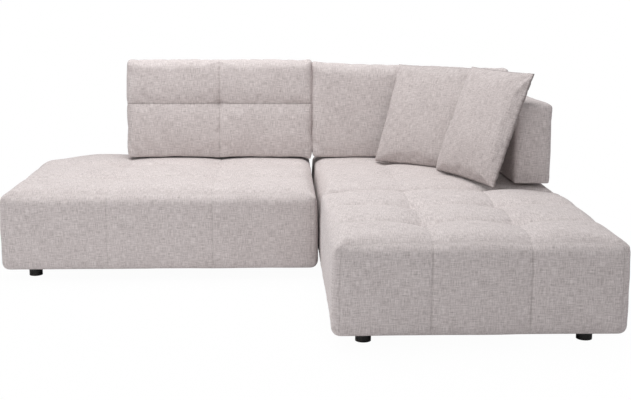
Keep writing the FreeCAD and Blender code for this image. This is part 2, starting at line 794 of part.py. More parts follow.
def side_back():
    """The lower, boxy back along the right side of the corner seat."""
    x1 = size("corner_width") - size("arm_inset")
    x0 = x1 - size("arm_width")
    y0 = size("arm_front")
    y1 = number(REST_FRONT) - size("side_gap")
    z0 = number(CROWN_CLEAR)
    height = size("arm_height")
    wall = size("shell_wall")
    margin = size("panel_margin")
    thick = size("panel_thick")
    depth = size("stud_depth")
    face = rail_face_x
    outside = arm_outside(x0, x1, y0, y1, z0, height)
    core = block(x0 + wall, y0 + wall, z0 + wall, x1 - wall, y1 - wall, z0 + height - wall)
    bottom = z0 + wall
    top = z0 + height - margin
    panel = block(face, y0 + margin, bottom, face + thick, y1 - margin, top)
    base_rail = block(face - depth, y0 + margin, bottom, face, y1 - margin, bottom + thick)
    studs = [
        block(face - depth, y, bottom + thick, face, y + thick, top - margin)
        for y in (y0 + margin, y1 - margin - thick)
    ]
    frame = board_fuse([panel.cut(arm_straps.holes), base_rail] + studs).cut(arm_straps.slots)
    solid_parts = [panel, base_rail] + studs + arm_straps.slots
    corner_seat.keep(feature("side_cover_form", outside.cut([core] + arm_straps.slots)), "side_cover")
    corner_seat.keep(feature("side_foam_form", core.cut(solid_parts)), "side_foam")
    corner_seat.keep(feature("side_frame_form", frame), "side_frame")
    corner_seat.keep(feature("side_strap_form", Part.makeCompound(arm_straps.straps)), "side_straps")
    corner_seat.keep(feature("side_screw_form", Part.makeCompound(arm_straps.screws)), "side_screws")


def backrest():
    """The loose backrest: a weighted, quilted wedge that stands on the wide seat."""
    width = size("rest_width")
    x0 = size("wide_width") - size("rest_side_gap") - width
    y0 = number(REST_FRONT)
    y1 = y0 + size("rest_base")
    z0 = number(CROWN_CLEAR) + size("mat_thick")
    height = size("rest_height")
    lean = size("rest_lean")
    sink = size("tuft_sink")
    thick = size("panel_thick")
    margin = size("panel_margin")
    wall = size("shell_wall") + sink + size("side_bulge")
    outside = back_outside(x0, width, y0, y1, z0, height, 0, lean, size("rest_seam"), sink, True)
    core = back_core(x0, width, y0, y1, z0, height, 0, lean, sink)
    left = x0 + margin
    right = x0 + width - margin
    bottom = z0 + wall
    front = y0 + margin
    rear = y1 - wall
    top = z0 + height - margin - wall
    base = block(left, front, bottom, right, rear, bottom + thick)
    upright = block(left, rear - thick, bottom + thick, right, rear, top)
    ribs = []
    spots = [left, (left + right - thick) / 2, right - thick]
    for x in spots:
        rib = Part.Face(Part.makePolygon([
            V(x, front, bottom + thick), V(x, rear - thick, bottom + thick),
            V(x, rear - thick, z0 + size("rest_seam")), V(x, front, bottom + thick),
        ]))
        ribs.append(rib.extrude(V(thick, 0, 0)))
    plates = []
    for start, end in ((spots[0], spots[1]), (spots[1], spots[2])):
        plates.append(block(start + thick, front, bottom + thick, end, rear - thick,
                            bottom + thick + size("ballast_thick")))
    mat_margin = margin / 2
    mat = block(x0 + margin, y0 + mat_margin, z0 - size("mat_thick"), x0 + width - margin,
                y1 - mat_margin, z0)
    frame = board_fuse([base, upright] + ribs)
    wide_seat.keep(feature("rest_cover_form", outside.cut(core)), "backrest_cover")
    wide_seat.keep(feature("rest_foam_form", core.cut([base, upright] + ribs + plates)),
                   "backrest_foam")
    wide_seat.keep(feature("rest_frame_form", frame), "backrest_frame")
    wide_seat.keep(feature("rest_ballast_form", Part.makeCompound(plates)), "backrest_ballast")
    wide_seat.keep(feature("rest_mat_form", mat), "backrest_grip_mat")


def pillow_ring(scale, y):
    """A square outline in the pillow's own XZ plane, drawn in between its corners along shallow
    bows. Every ring is the same outline at another scale, so the facets between rings are flat."""
    side = size("pillow_size")
    middle = V(side / 2, 0, side / 2)
    steps = int(size("pillow_steps"))
    corners = [V(0, 0, 0), V(side, 0, 0), V(side, 0, side), V(0, 0, side)]
    ring = []
    for i in range(4):
        start = corners[i]
        along = corners[(i + 1) % 4] - start
        inward = (middle - (start + along * 0.5)).normalize()
        for j in range(steps):
            share = j / steps
            point = start + along * share + inward * (size("pillow_draw") * 4 * share * (1 - share))
            ring.append(middle + (point - middle) * scale + V(0, y, 0))
    return ring


def pillow_outside(back):
    """A square scatter pillow standing in its own XZ plane: rings that grow from a small crown to
    the narrow sewn edge and shrink again behind it, where the pillow is pressed flatter: back is how
    far that side swells."""
    edge = size("pillow_edge") / 2
    count = int(size("pillow_rings"))

    def half(belly):
        levels = []
        for i in range(count + 1):
            climb = math.pi / 2 * i / count
            scale = 1 - size("pillow_crown") * (1 - math.cos(climb))
            levels.append((scale, edge + belly * math.sin(climb)))
        return levels

    front = [pillow_ring(scale, -y) for scale, y in reversed(half(size("pillow_belly")))]
    rear = [pillow_ring(scale, y) for scale, y in half(back)]
    return facets(front + rear)


def pillow_filling(back):
    """The bag of fibre inside: a flat faced lens, well inside the cover's two curved sheets."""
    side = size("pillow_size")
    wall = size("pillow_wall")
    rim = size("pillow_draw") + 4 * wall
    flat = side / 3

    def square(inset, y):
        far = side - inset
        return [V(inset, y, inset), V(far, y, inset), V(far, y, far), V(inset, y, far)]

    return facets([square(flat, wall - size("pillow_belly")), square(rim, 0), square(flat, back - wall)])


def pillow(name):
    """A pillow that leans back with its lower edge resting on the seat."""
    outer = pillow_outside(size(name + "_back"))
    inner = pillow_filling(size(name + "_back"))
    yaw = FreeCAD.Rotation(V(0, 0, 1), size(name + "_yaw"))
    turn = yaw.multiply(FreeCAD.Rotation(V(1, 0, 0), -size(name + "_lean")))
    tilted = outer.copy()
    tilted.Placement = FreeCAD.Placement(V(0, 0, 0), turn)
    x = number(CORNER_LEFT) + size(name + "_x")
    y = number(SEAT_FRONT) + size(name + "_y")
    low = tilted.optimalBoundingBox().ZMin + size(name + "_drop")
    spot = V(x, y, number(CROWN_CLEAR) - low)
    cover = node(feature(name + "_cover_form", outer.cut(inner)), name + "_cover")
    filling = node(feature(name + "_filling_form", inner), name + "_filling")
    for piece in (cover, filling):
        piece.Placement = FreeCAD.Placement(spot, turn)


fixed_back()
side_back()
backrest()
pillow("rear_pillow")
pillow("front_pillow")

doc.recompute()
for obj in doc.Objects:
    if "Invalid" in obj.State or "Error" in obj.State:
        raise RuntimeError("%s did not build: %s" % (obj.Label, obj.State))
os.makedirs("parts", exist_ok=True)
for obj in NODES:
    shape = obj.Shape
    if shape.isNull() or not shape.isValid() or shape.Volume <= 0:
        raise RuntimeError("%s has no valid shape" % obj.Label)
for obj in NODES:
    obj.Shape.exportStep("parts/%s.step" % obj.Label)
    print("%-34s %2d solids %10.1f cm3" % (obj.Label, len(obj.Shape.Solids), obj.Shape.Volume / 1000))
print(len(NODES), "nodes")
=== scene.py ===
# %% [markdown]
# # A tufted corner sofa, dressed from its CAD frame
# The real sofa is three upholstered blocks on short feet, with a loose weighted backrest, a plain
# fixed back, a boxy arm and two scatter cushions. FreeCAD made the solids. Here each soft solid is
# replaced by cloth that swells, dips and creases as upholstery does. Everything is in metres.

import json
import math

import bpy
import numpy as np
from mathutils import Matrix, Vector


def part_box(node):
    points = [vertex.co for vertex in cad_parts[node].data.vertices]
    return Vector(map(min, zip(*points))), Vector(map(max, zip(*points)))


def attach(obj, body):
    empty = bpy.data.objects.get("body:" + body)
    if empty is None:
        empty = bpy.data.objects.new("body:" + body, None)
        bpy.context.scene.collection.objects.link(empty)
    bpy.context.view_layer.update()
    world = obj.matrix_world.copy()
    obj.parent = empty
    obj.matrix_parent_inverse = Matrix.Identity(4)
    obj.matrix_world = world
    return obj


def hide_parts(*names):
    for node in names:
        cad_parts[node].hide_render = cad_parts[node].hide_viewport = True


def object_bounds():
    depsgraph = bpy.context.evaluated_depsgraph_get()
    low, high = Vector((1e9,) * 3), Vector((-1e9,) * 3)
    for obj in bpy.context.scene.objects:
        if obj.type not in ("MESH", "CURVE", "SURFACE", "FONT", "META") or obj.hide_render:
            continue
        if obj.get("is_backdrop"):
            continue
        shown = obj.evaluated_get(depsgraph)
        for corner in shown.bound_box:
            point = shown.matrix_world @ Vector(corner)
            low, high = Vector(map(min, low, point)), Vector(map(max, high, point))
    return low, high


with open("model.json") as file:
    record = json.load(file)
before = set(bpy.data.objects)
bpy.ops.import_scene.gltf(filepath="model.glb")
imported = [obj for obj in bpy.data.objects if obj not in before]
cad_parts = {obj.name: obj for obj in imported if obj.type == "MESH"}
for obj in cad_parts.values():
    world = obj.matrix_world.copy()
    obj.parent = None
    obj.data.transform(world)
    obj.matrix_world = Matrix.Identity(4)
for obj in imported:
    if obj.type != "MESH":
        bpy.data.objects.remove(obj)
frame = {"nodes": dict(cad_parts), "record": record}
cad_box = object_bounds()
print("CAD box:", [round(v, 3) for v in cad_box[1] - cad_box[0]])

# %% [markdown]
# ## Points on a block
# A sewn cover is cut from flat panels, so each one starts as the six sides of a block. The grid
# lines crowd together where a seam or a corner needs fine detail and spread out elsewhere, which
# keeps the piece light. Rounding then pulls the points near an edge onto an ellipsoid.


# %% Grids and rounding
def crowded(length, step, marks=(), fine=0.002, reach=0.008):
    """Positions from 0 to length. Their density is one per step, plus one per fine close to each
    mark, fading over reach; the positions are equal shares of the density's running total."""
    t = np.linspace(0, length, 4001)
    density = np.full_like(t, 1 / step)
    for mark in marks:
        density += np.exp(-(((t - mark) / reach) ** 2)) / fine
    total = np.concatenate([[0], np.cumsum((density[1:] + density[:-1]) / 2 * np.diff(t))])
    lines = np.interp(np.linspace(0, total[-1], int(np.ceil(total[-1])) + 1), total, t)
    for mark in marks:
        lines[np.argmin(abs(lines - mark))] = mark
    return lines


def block_shell(xs, ys, zs):
    """The six sides of a block as one closed grid: points, quads that face outwards, and for each
    quad corner the flat cloth coordinate, which is the length along the panel in metres."""
    far = (xs[-1], ys[-1], zs[-1])
    points, quads, cloth = [], [], []
    first = 0
    for axis, (u, v) in ((0, (1, 2)), (1, (2, 0)), (2, (0, 1))):
        lines = ((xs, ys, zs)[u], (xs, ys, zs)[v])
        for high in (False, True):
            a, b = np.meshgrid(*lines, indexing="ij")
            side = np.zeros(a.shape + (3,))
            side[..., axis] = far[axis] if high else 0
            side[..., u], side[..., v] = a, b
            number = first + np.arange(a.size).reshape(a.shape)
            quad = [number[:-1, :-1], number[1:, :-1], number[1:, 1:], number[:-1, 1:]]
            quads.append(np.stack(quad if high else quad[::-1], -1).reshape(-1, 4))
            points.append(side.reshape(-1, 3))
            pair = (1, 2) if axis == 0 else (0, 2) if axis == 1 else (0, 1)
            cloth.append(side.reshape(-1, 3)[:, pair])
            first += a.size
    points, quads, cloth = np.concatenate(points), np.concatenate(quads), np.concatenate(cloth)
    _, keep, where = np.unique(np.round(points, 6), axis=0, return_index=True, return_inverse=True)
    return points[keep], where.reshape(-1)[quads], cloth[quads]


def rounded(points, far, radii):
    """Each point moves onto an ellipsoid of these radii that rolls round inside the block."""
    middle = np.clip(points, radii, far - radii)
    out = (points - middle) / radii
    out /= np.maximum(np.linalg.norm(out, axis=1, keepdims=True), 1e-9)
    return middle + out * radii, out


def ripple(points, width, seed, waves=16):
    """Smooth noise about 1 high: a sum of sine waves of one width in seeded random directions."""
    dice = np.random.default_rng(seed)
    way = dice.normal(size=(waves, 3))
    way /= np.linalg.norm(way, axis=1, keepdims=True)
    return np.sin(points @ way.T * (2 * np.pi / width) + dice.uniform(0, 6.3, waves)).sum(1) / waves**0.5


def smooth(value, low, high):
    """0 below low, 1 above high and an even S between them."""
    t = np.clip((value - low) / (high - low), 0, 1)
    return t * t * (3 - 2 * t)


def surface(name, points, quads, cloth=None, seam_yarn_and_shade=None):
    """A mesh object from arrays of points and quads, smooth shaded, with the cloth coordinates as its UV map
    and, as a point attribute, a seam mask that is 1 on a seam and 0 away from it; the cloth shader darkens
    the seams with it, for the colour of the sewing yarn and for painted shade in the seam's groove."""
    mesh = bpy.data.meshes.new(name)
    mesh.vertices.add(len(points))
    mesh.vertices.foreach_set("co", np.asarray(points, np.float32).ravel())
    mesh.loops.add(quads.size)
    mesh.loops.foreach_set("vertex_index", quads.ravel().astype(np.int32))
    mesh.polygons.add(len(quads))
    mesh.polygons.foreach_set("loop_start", np.arange(0, quads.size, 4, dtype=np.int32))
    mesh.update(calc_edges=True)
    mesh.validate()
    mesh.polygons.foreach_set("use_smooth", np.ones(len(quads), bool))
    if cloth is not None:
        layer = mesh.uv_layers.new(name="cloth")
        layer.data.foreach_set("uv", cloth.reshape(-1, 2).astype(np.float32).ravel())
    if seam_yarn_and_shade is not None:
        layer = mesh.attributes.new("seam_yarn_and_shade", "FLOAT", "POINT")
        layer.data.foreach_set("value", np.asarray(seam_yarn_and_shade, np.float32))
    thing = bpy.data.objects.new(name, mesh)
    bpy.context.scene.collection.objects.link(thing)
    print(name, len(points), "points", len(quads), "quads")
    return thing


def corners(node):
    """Lowest and highest corner of a CAD node as arrays."""
    low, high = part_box(node)
    return np.array(low), np.array(high)


print("grid lines across 1 m with a seam in the middle:", len(crowded(1.0, 0.016, (0.5,))))

# %% [markdown]
# ## Cloth that is a little too large
# A cover is cut slightly larger than the foam it goes over, and sewn down along its seams. The
# cloth simulation grows each sheet by about one percent, blows it outwards and holds its seams,
# so the spare cloth swells and creases a little away from the stitches.


# %% Inflate a cover
def inflate(thing, held, pressure, spare, cap, frames=18):
    """Runs Blender's cloth on a piece: held is 1 where a point stays put, spare is the share by
    which the cloth is too large, and no point ends further than cap from where it began."""
    scene = bpy.context.scene
    group = thing.vertex_groups.new(name="held")
    for weight in (0.25, 0.5, 1.0):
        group.add(np.flatnonzero(held >= weight * 0.999).tolist(), weight, "REPLACE")
    modifier = thing.modifiers.new("cloth", "CLOTH")
    settings = modifier.settings
    settings.quality = 4
    settings.mass = 0.4
    settings.tension_stiffness = settings.compression_stiffness = 18
    settings.shear_stiffness, settings.bending_stiffness = 8, 0.8
    settings.use_pressure, settings.uniform_pressure_force = True, pressure
    settings.shrink_min = -spare
    settings.vertex_group_mass = "held"
    settings.effector_weights.gravity = 0
    modifier.collision_settings.use_collision = False
    modifier.point_cache.frame_start, modifier.point_cache.frame_end = 1, frames
    count = len(thing.data.vertices)
    before, after = np.zeros(count * 3, np.float32), np.zeros(count * 3, np.float32)
    thing.data.vertices.foreach_get("co", before)
    for moment in range(1, frames + 1):
        scene.frame_set(moment)
    shape = thing.evaluated_get(bpy.context.evaluated_depsgraph_get()).data
    shape.vertices.foreach_get("co", after)
    thing.modifiers.remove(modifier)
    scene.frame_set(1)
    moved = (after - before).reshape(-1, 3)
    length = np.linalg.norm(moved, axis=1, keepdims=True)
    moved *= cap * np.tanh(length / cap) / np.maximum(length, 1e-9)
    thing.data.vertices.foreach_set("co", (before.reshape(-1, 3) + moved).ravel())
    thing.data.update()
    print(thing.name, "cloth moved", round(float(length.mean()) * 1000, 1), "mm on average")


# %% [markdown]
# ## Colours and node trees
# A material's colours are written as the sRGB values one reads off a swatch, and one function
# turns them to the linear values that Blender mixes.


# %% Material helpers
def linear(swatch):
    """An sRGB hex colour as linear red, green, blue and alpha."""
    value = np.array([int(swatch[i : i + 2], 16) for i in (1, 3, 5)]) / 255
    return (*np.where(value <= 0.04045, value / 12.92, ((value + 0.055) / 1.055) ** 2.4), 1.0)


def add(tree, kind, settings=None, **links):
    """Adds one shader node. Settings set its properties or sockets; links feed its sockets."""
    made = tree.nodes.new(kind)
    for key, value in (settings or {}).items():
        if isinstance(key, str) and hasattr(made, key):
            setattr(made, key, value)
        else:
            made.inputs[key].default_value = value
    for key, source in links.items():
        tree.links.new(source, made.inputs[int(key[1:]) if key[0] == "n" and key[1:].isdigit() else key])
    return made


def finish(name):
    """A new material, its node tree and its principled shader."""
    material = bpy.data.materials.new(name)
    material.use_nodes = True
    tree = material.node_tree
    return material, tree, tree.nodes["Principled BSDF"]


def dress(thing, material):
    """Gives a piece this material in its first slot."""
    thing.data.materials.clear()
    thing.data.materials.append(material)


print("#808080 in linear light:", round(float(linear("#808080")[0]), 3))

# %% [markdown]
# ## The cover cloth
# A flat-woven melange: pale, beige and grey-brown yarns are spun together, so the cloth is
# speckled with short streaks along both thread directions. The real threads are taken as 1.5 mm
# apart. The weave's bump is drawn coarser, at 2.6 mm, and the flecks as streaks 3 mm wide and up
# to 36 mm long, since a finer pattern would be lost at the camera's distance.

# %% Woven melange
FLECKS = ((28, 330), (330, 28), (120, 640), (640, 120))  # repeats per metre along and across
WAVE_REPEAT = 2 * math.pi / 20  # how far one band of the wave texture reaches at scale 1
DRAWN_PITCH = 0.0026  # metres between drawn threads


def streaks(tree, where, layer, density):
    """Noise pulled out along one direction of the weave: each cloth coordinate is multiplied by its own
    density, and each layer is shifted so that no two agree."""
    shift = {"Scale": (*density, 1), "Location": (layer * 7.3, 1.7, 0)}
    stretch = add(tree, "ShaderNodeMapping", shift, Vector=where).outputs["Vector"]
    noise = {"Scale": 1.0, "Detail": 2.0, "Roughness": 0.6}
    return add(tree, "ShaderNodeTexNoise", noise, Vector=stretch).outputs["Fac"]


def total(tree, first, second):
    """The sum of two values."""
    return add(tree, "ShaderNodeMath", {"operation": "ADD"}, n0=first, n1=second).outputs[0]


def weighed(tree, share, first, second):
    """A share of the first value plus the second."""
    settings = {"operation": "MULTIPLY_ADD", 1: share}
    return add(tree, "ShaderNodeMath", settings, n0=first, n2=second).outputs[0]


def melange(name, pale, middle, dark, yarn_and_seam_shade):
    """Two layers of long streaks are added, then two of short ones at 0.4 and a slow cloud at 0.16; the sum
    runs through a ramp from dark over middle to pale. The seam attribute blends in a darker seam colour:
    partly the sewing yarn's own colour, partly painted shade in the seams' grooves and round the tufts. The
    bump's height is half the product of two waves, one along each direction of the weave, plus the short
    streaks."""
    material, tree, shader = finish(name)
    where = add(tree, "ShaderNodeUVMap", {"uv_map": "cloth"}).outputs["UV"]
    flecks = [streaks(tree, where, layer, density) for layer, density in enumerate(FLECKS)]
    coarse, fine = total(tree, flecks[0], flecks[1]), total(tree, flecks[2], flecks[3])
    cloudy = add(tree, "ShaderNodeTexNoise", {"Scale": 7.0, "Detail": 2.0}, Vector=where).outputs["Fac"]
    drift = weighed(tree, 0.16, cloudy, weighed(tree, 0.4, fine, coarse))
    spread = add(tree, "ShaderNodeMapRange", {"From Min": 0.88, "From Max": 2.08}, Value=drift)
    ramp = add(tree, "ShaderNodeValToRGB", n0=spread.outputs[0])
    first, last = ramp.color_ramp.elements
    first.color, first.position = linear(dark), 0.24
    last.color, last.position = linear(pale), 0.74
    ramp.color_ramp.elements.new(0.5).color = linear(middle)
    # The seams are painted darker from this attribute: the thread's colour and painted shade in the seams'
    # grooves.
    seam_yarn_and_shade_share = add(tree, "ShaderNodeAttribute", {"attribute_name": "seam_yarn_and_shade"}).outputs["Fac"]
    colour = add(tree, "ShaderNodeMix", {"data_type": "RGBA"}, Factor=seam_yarn_and_shade_share)
    colour.inputs[7].default_value = linear(yarn_and_seam_shade)
    tree.links.new(ramp.outputs["Color"], colour.inputs[6])
    tree.links.new(colour.outputs[2], shader.inputs["Base Color"])
    weave = []
    for way in ("X", "Y"):
        bands = {"bands_direction": way, "Scale": WAVE_REPEAT / DRAWN_PITCH, "Distortion": 0.6, "Detail": 1.0}
        weave.append(add(tree, "ShaderNodeTexWave", bands, Vector=where).outputs["Fac"])
    knit = add(tree, "ShaderNodeMath", {"operation": "MULTIPLY"}, n0=weave[0], n1=weave[1]).outputs[0]
    height = weighed(tree, 0.5, knit, fine)
    bump = add(tree, "ShaderNodeBump", {"Strength": 0.35, "Distance": 0.001}, Height=height)
    tree.links.new(bump.outputs["Normal"], shader.inputs["Normal"])
    shader.inputs["Roughness"].default_value = 0.92
    shader.inputs["Specular IOR Level"].default_value = 0.25
    shader.inputs["Sheen Weight"].default_value = 0.12
    shader.inputs["Sheen Roughness"].default_value = 0.5
    print(name, "has", len(tree.nodes), "nodes")
    return material


# A dry, matt, warm grey cloth: speckled close by, one soft tone from across the room. Its last colour darkens
# the seams: partly the thread's colour, partly painted shade in the seams' grooves and round the tufts.
cover_cloth = melange("woven_melange_cloth", "#DDD5D3", "#C8BFBD", "#A69D9B", "#7F7674")
# The same cloth painted a little darker, which is painted shade: the leaning cushions face the overhead lamp
# and would otherwise outshine the backs. Its last colour darkens the sewn edges, partly as thread and partly
# as painted shade that draws each cushion's outline.
shaded_pillow_cloth = melange("pillow_melange_cloth_painted_shade", "#CEC6C4", "#B9B0AE", "#9A918F", "#736A68")

# %% [markdown]
# ## The seats
# Each seat is a sprung block with a quilted top. Two seams run across it and two from front to
# rear, and where they cross the cloth is pulled down into the foam. Between the seams the foam
# swells into nine soft puffs. The seams from front to rear run on over the roll and down the
# front and rear faces.

# %% A swell and a ridge
def swelling(distance, reach, power):
    """0 on a seam and 1 from reach onwards: one minus a falling power of the distance."""
    return 1 - (1 - np.clip(distance / reach, 0, 1)) ** power


def bell(distance, width):
    """1 at distance 0, falling as a bell curve of this width."""
    return np.exp(-((distance / width) ** 2))


print("a seam's pull at 0, 3 and 10 mm:", [round(float(bell(d, 0.003)), 2) for d in (0, 0.003, 0.010)])

# %% Seat covers
BELOW_MAT = 0.0022  # keeps the crown just under the mat and the cushions that lie on it
BOX_SEAM = 0.030  # distance of the upright corner seams from the ends


def seat_rolls(flat, far):
    """The radius along x, y and z at each point. It grows with height from a small roll at the
    bottom to a wide one at the top, is widest at the front and shrinks towards the corners."""
    width, depth, height = far
    rise = (flat[:, 2] / height)[:, None]
    along, over = abs(2 * flat[:, :1] / width - 1), abs(2 * flat[:, 1:2] / depth - 1)
    fore = 0.25 + 0.75 * (1 - smooth(flat[:, 1:2] / depth, 0.3, 0.85))
    roll_x = 0.036 + 0.030 * rise * (1 - over**6)
    roll_y = 0.030 + 0.085 * fore * rise * (1 - along**6)
    return np.hstack([roll_x, roll_y, 0.034 + 0.056 * fore * rise])


def seat_cover(name, node, body, replaced, seed, quilt, line, slump):
    """quilt is how deep the tufts and channels are pulled, line how much darker the seams are painted, for
    the colour of the sewing yarn and for painted shade in their grooves, and slump how far the left and right
    rear corners sink. The top's height is lowered at the edges and corners, by a power of the distance from
    each seam, and by a steep cone with small spokes round each tuft."""
    low, high = corners(node)
    high[2] -= BELOW_MAT
    far = high - low
    width, depth, height = far
    across = (width / 3, width * 2 / 3)
    back_to_front = (depth / 3, depth * 2 / 3)
    xs = crowded(width, 0.016, (0, BOX_SEAM, *across, width - BOX_SEAM, width), 0.0026, 0.009)
    ys = crowded(depth, 0.016, (0, *back_to_front, depth), 0.0026, 0.009)
    zs = crowded(height, 0.014, (0, height), 0.004, 0.02)
    flat, quads, cloth = block_shell(xs, ys, zs)
    points, out = rounded(flat, far, seat_rolls(flat, far))
    x, y, z = flat.T
    up, down = np.clip(out[:, 2], 0, 1), np.clip(-out[:, 2], 0, 1)
    front, rear = np.clip(-out[:, 1], 0, 1), np.clip(out[:, 1], 0, 1)
    a, b = 2 * x / width - 1, 2 * y / depth - 1
    dx = np.minimum(abs(x - across[0]), abs(x - across[1]))
    dy = np.minimum(abs(y - back_to_front[0]), abs(y - back_to_front[1]))
    away = np.hypot(dx, dy)
    swell_x, swell_y = swelling(dx, width / 6, 2.8), swelling(dy, depth / 6, 3.0)

    # The top: edges and rear corners sink, then the channels, the tufts and their spokes.
    edge = 1 - (1 - a**4) * (1 - b**4)
    lift = -0.012 * edge * (1 - 0.7 * smooth(b, 0, 1)) - 0.020 * (a * b) ** 4
    lift -= np.where(a < 0, *slump) * smooth(abs(a), 0.6, 1) * smooth(b, 0.45, 1)
    lift -= quilt * (0.014 * (1 - swell_x) + 0.017 * (1 - swell_y) * (1 - 0.5 * a**8))
    lift -= quilt * 0.032 * np.exp(-((away / 0.062) ** 1.2))
    lift -= quilt * (0.002 * np.exp(-dx / 0.010) + 0.004 * np.exp(-dy / 0.010))
    turn = np.arctan2(dy + 1e-6, dx + 1e-6)
    spokes = np.cos(turn * 10 + seed) * np.exp(-away / 0.05) * smooth(away, 0.006, 0.03)
    lift += quilt * 0.0022 * spokes
    points[:, 2] += lift * up

    # The sides: seams pull in, the middle bulges, and the ends lean in towards the top.
    groove = quilt * (0.005 * (1 - swell_x) + 0.0018 * bell(dx, 0.003) + 0.0015 * bell(dx, 0.012))
    corner_seam = np.minimum(abs(x - BOX_SEAM), abs(width - BOX_SEAM - x))
    groove = groove + 0.0016 * bell(corner_seam, 0.0035) + 0.002 * bell(corner_seam, 0.02)
    level = z / height
    belly = 0.005 * np.sin(np.pi * np.clip(level, 0, 1)) ** 0.8
    points[:, 1] += (-out[:, 1]) * groove * (1 - up)
    points[:, 1] += out[:, 1] * (belly - 0.004) * (1 - abs(a) ** 6) * (1 - up)
    points[:, 0] += out[:, 0] * (belly - 0.004) * (1 - abs(b) ** 6) * (1 - up)
    points[:, 0] -= a * (0.003 + 0.007 * smooth(level, 0.5, 1.0))

    # Small ears at the four top corners, and slow waves over the whole cover.
    from_end, from_side = np.minimum(x, width - x), np.minimum(y, depth - y)
    ear = np.exp(-((from_end / 0.035) ** 2 + (from_side / 0.04) ** 2 + ((height - z) / 0.05) ** 2))
    points[:, 0] += 0.006 * ear * np.sign(a)
    points[:, 1] += 0.007 * ear * np.sign(b)
    points[:, 2] += 0.004 * ear
    calm = 1 - 0.7 * down - 0.9 * up
    wave = 0.0016 * ripple(points, 0.33, seed) + 0.0007 * ripple(points, 0.11, seed + 1)
    points += out * wave[:, None] * calm[:, None]
    points[:, 2] = np.minimum(points[:, 2], height)
    inside = smooth(np.minimum(from_end, from_side), 0.05, 0.08)
    points[:, 2] += 0.012 * inside * down * (z < 1e-6)

    # The seams on the top and the upright seams on the front and rear faces are painted darker: the thread's
    # colour and painted shade in their grooves.
    on_top = np.maximum(0.5 * bell(dx, 0.003), bell(dy, 0.003)) * smooth(up, 0.3, 0.8)
    on_face = np.maximum(bell(dx, 0.0028), 0.7 * bell(corner_seam, 0.0028))
    on_face = on_face * smooth(front + rear, 0.5, 0.9)
    seam_yarn_and_shade = line * np.maximum(on_top, on_face) * (down < 0.5)
    piece = surface(name, low + points, quads, cloth, seam_yarn_and_shade)
    dress(piece, cover_cloth)
    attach(piece, body)
    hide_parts(node, *replaced)
    return piece


# line is the strength of the painted seam shade and thread colour on each seat.
for seat, body, seed, quilt, line, slump in (
    ("wide_seat", "sofa", 3, 0.7, 0.16, (0.024, 0.004)),
    ("corner_seat", "sofa", 5, 0.35, 0.12, (0.002, 0.004)),
    ("ottoman", "ottoman", 8, 0.9, 0.3, (0.012, 0.012)),
):
    inner = [seat + "_foam", seat + "_side_padding"]
    seat_cover(seat + "_upholstery", seat + "_cover", body, inner, seed, quilt, line, slump)

# %% [markdown]
# ## The backs and the arm
# A back leans: its front face slopes rearwards while its rear face stands upright. The block is
# therefore sheared after it is rounded. The loose backrest is quilted with one upright and one
# level seam that cross in a deep tuft; the fixed back and the arm are plain.

# %% Backs
def quilted_front(x, z, seams):
    """How far the front is pulled in by its two seams, and how far each point is from them: a
    power of the distance from each seam, a steep cone with spokes at their crossing, and a fine
    crease on the seams themselves."""
    dx, dz = abs(x - seams[0]), abs(z - seams[1])
    away = np.hypot(dx, dz)
    pull = 0.007 * (1 - swelling(dx, 0.2, 2.4)) + 0.008 * (1 - swelling(dz, 0.14, 2.4))
    pull = pull + 0.030 * np.exp(-away / 0.032)
    pull += 0.0022 * bell(dx, 0.004) + 0.003 * bell(dz, 0.004) + 0.002 * np.exp(-dz / 0.012)
    turn = np.arctan2(z - seams[1], x - seams[0])
    pull -= 0.0018 * np.cos(turn * 8) * np.exp(-away / 0.05) * smooth(away, 0.006, 0.03)
    return pull, dx, dz, away


